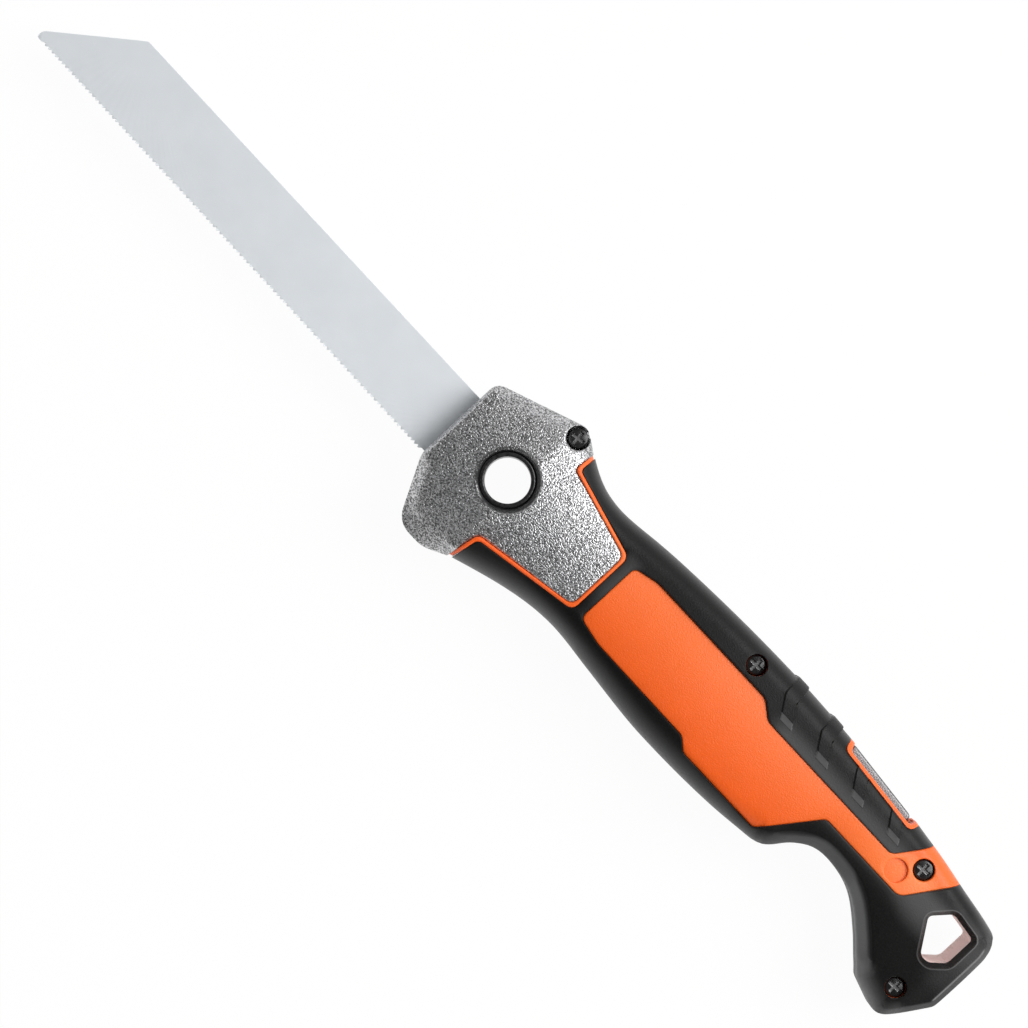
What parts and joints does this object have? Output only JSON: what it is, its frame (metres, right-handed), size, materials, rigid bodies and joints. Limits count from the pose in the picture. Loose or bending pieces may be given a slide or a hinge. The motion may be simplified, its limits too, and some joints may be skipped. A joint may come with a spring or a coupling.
{
  "type": "multipurpose hand saw",
  "caption": "Multipurpose hand saw with a straight exchangeable blade, a bevelled metal head with an eyelet, a thumb release and a soft handle with a finger notch and a hang hole.",
  "frame": {"origin": "centre of the eyelet through the head, at the mid plane of the blade", "axes": "+X along the blade towards its tip, +Y towards the teeth and the belly of the handle, +Z out of the side with the screw heads"},
  "size_m": [0.2834, 0.0429, 0.026],
  "materials": {
    "blade_steel": "satin, bare steel",
    "head_coat": "grey hammertone coat on a die casting",
    "shell_orange": "satin moulded plastic",
    "grip_rubber": "fine-grained soft overmould",
    "inner_steel": "plain sheet steel",
    "rivet_steel": "plain turned steel",
    "eyelet_black": "black oxide",
    "screw_black": "black oxide",
    "tab_grey": "grainy cast metal",
    "sleeve_pale": "satin moulded plastic"
  },
  "bodies": {
    "handle": {"head_cover_upper": "head_coat", "head_cover_lower": "head_coat", "shell_upper": "shell_orange", "shell_lower": "shell_orange", "grip_upper": "grip_rubber", "grip_lower": "grip_rubber", "guide_plate_upper": "inner_steel", "guide_plate_lower": "inner_steel", "blade_rail": "inner_steel", "mouth_spacer": "inner_steel", "plate_rivets": "rivet_steel", "eyelet": "eyelet_black", "eyelet_collar": "eyelet_black", "latch_spring": "inner_steel", "latch_rivet": "rivet_steel", "lever_pivot_pin": "rivet_steel", "return_spring": "inner_steel", "shell_screws": "screw_black", "hang_hole_sleeve": "sleeve_pale"},
    "blade": {"blade": "blade_steel"},
    "lever": {"release_lever": "inner_steel", "lever_tab": "tab_grey", "tab_rivets": "rivet_steel"}
  },
  "joints": [
    {"name": "blade_slide", "type": "slide", "parent": "handle", "child": "blade", "axis": [1, 0, 0], "range_m": [0, 0.028], "deforming": ["latch_spring"]},
    {"name": "lever_press", "type": "hinge", "parent": "handle", "child": "lever", "pos_m": [-0.0479, -0.006, 0], "axis": [0, 0, -1], "range_deg": [0, 2.4], "stiffness_Nm_per_rad": 2, "springref_deg": -2.29, "deforming": ["latch_spring", "return_spring"]}
  ]
}
